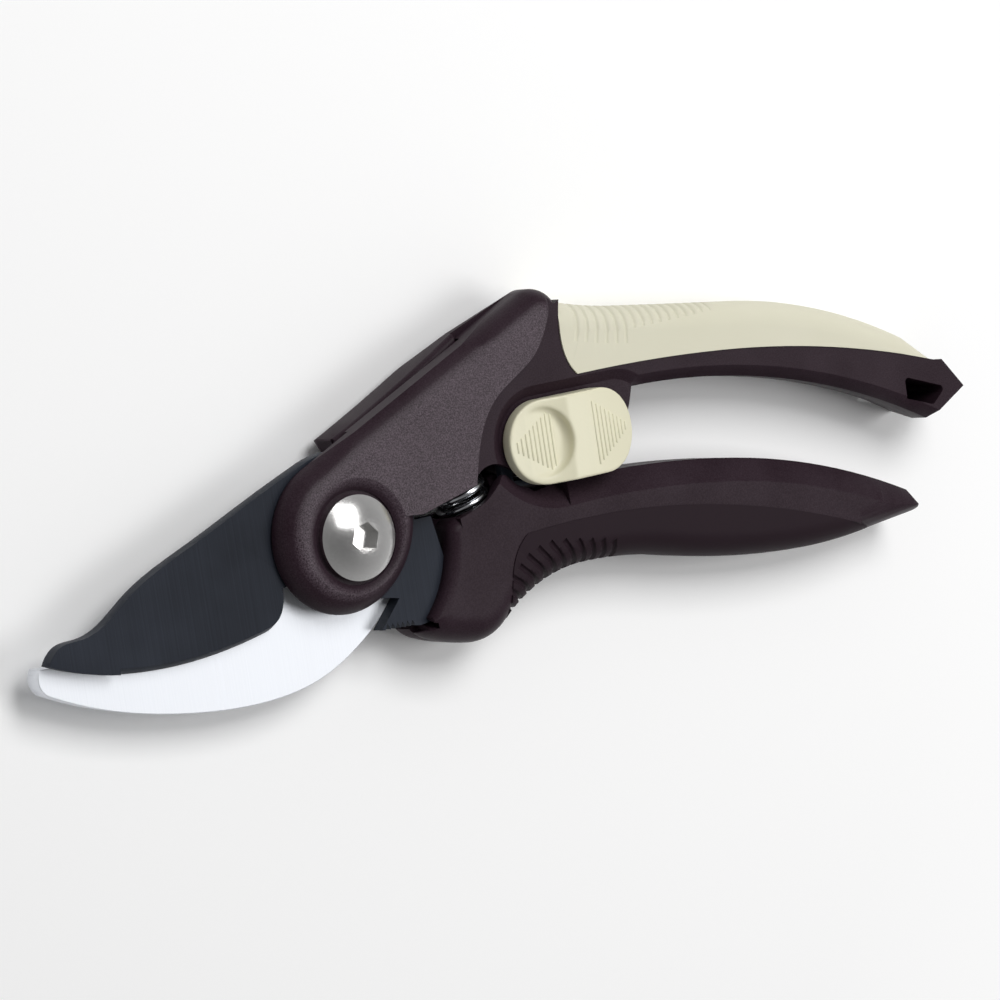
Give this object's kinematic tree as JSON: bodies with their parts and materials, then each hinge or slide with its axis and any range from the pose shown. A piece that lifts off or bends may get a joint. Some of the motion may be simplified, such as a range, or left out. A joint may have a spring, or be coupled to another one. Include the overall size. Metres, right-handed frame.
{
  "type": "bypass pruning shears",
  "caption": "Bypass pruning shears with a coated curved cutting blade, a ground steel hook, moulded handles with soft grips, a coil return spring and a slide lock.",
  "frame": {"origin": "on the pivot bolt's axis, in the plane that the shears' back lies on, where the nut's recess opens", "axes": "+Z along the pivot's axis, from the back to the face with the bolt's head; +X from the blades towards the handles; +Y towards the handle with the slide lock"},
  "size_m": [0.2111, 0.0635, 0.0183],
  "materials": {
    "aubergine_plastic": "fine sand texture",
    "aubergine_soft": "matt soft grip",
    "cream_soft": "matt soft grip",
    "cream_plastic": "satin",
    "black_plastic": "matt",
    "ground_steel": "ground",
    "coated_steel": "low-friction coating, satin",
    "polished_bolt": "polished",
    "plain_steel": "zinc plated",
    "spring_wire": "bright drawn wire"
  },
  "bodies": {
    "upper_handle": {"upper_front_shell": "aubergine_plastic", "upper_back_shell": "aubergine_plastic", "upper_grip": "cream_soft", "counter_blade": "ground_steel", "counter_blade_rivets": "plain_steel", "upper_shell_screws": "plain_steel", "pivot_bolt": "polished_bolt", "pivot_sleeve": "plain_steel", "thrust_washer": "plain_steel", "nut_washer": "plain_steel", "lock_nut": "plain_steel", "upper_spring_seat": "black_plastic", "return_spring": "spring_wire", "lock_detent": "spring_wire"},
    "lower_handle": {"lower_front_shell": "aubergine_plastic", "lower_back_shell": "aubergine_plastic", "lower_grip": "aubergine_soft", "cutting_blade": "coated_steel", "blade_rivets": "plain_steel", "lower_shell_screws": "plain_steel", "lower_spring_seat": "black_plastic"},
    "lock_slider": {"lock_button": "cream_plastic", "lock_latch": "coated_steel", "lock_screw": "plain_steel"}
  },
  "joints": [
    {"name": "blade_pivot", "type": "hinge", "parent": "upper_handle", "child": "lower_handle", "pos_m": [0, 0, 0.0084], "axis": [0, 0, -1], "range_deg": [0, 28], "deforming": ["return_spring"]},
    {"name": "lock_slide", "type": "slide", "parent": "upper_handle", "child": "lock_slider", "axis": [1, 0, 0], "range_m": [0, 0.006], "deforming": ["lock_detent"]}
  ]
}
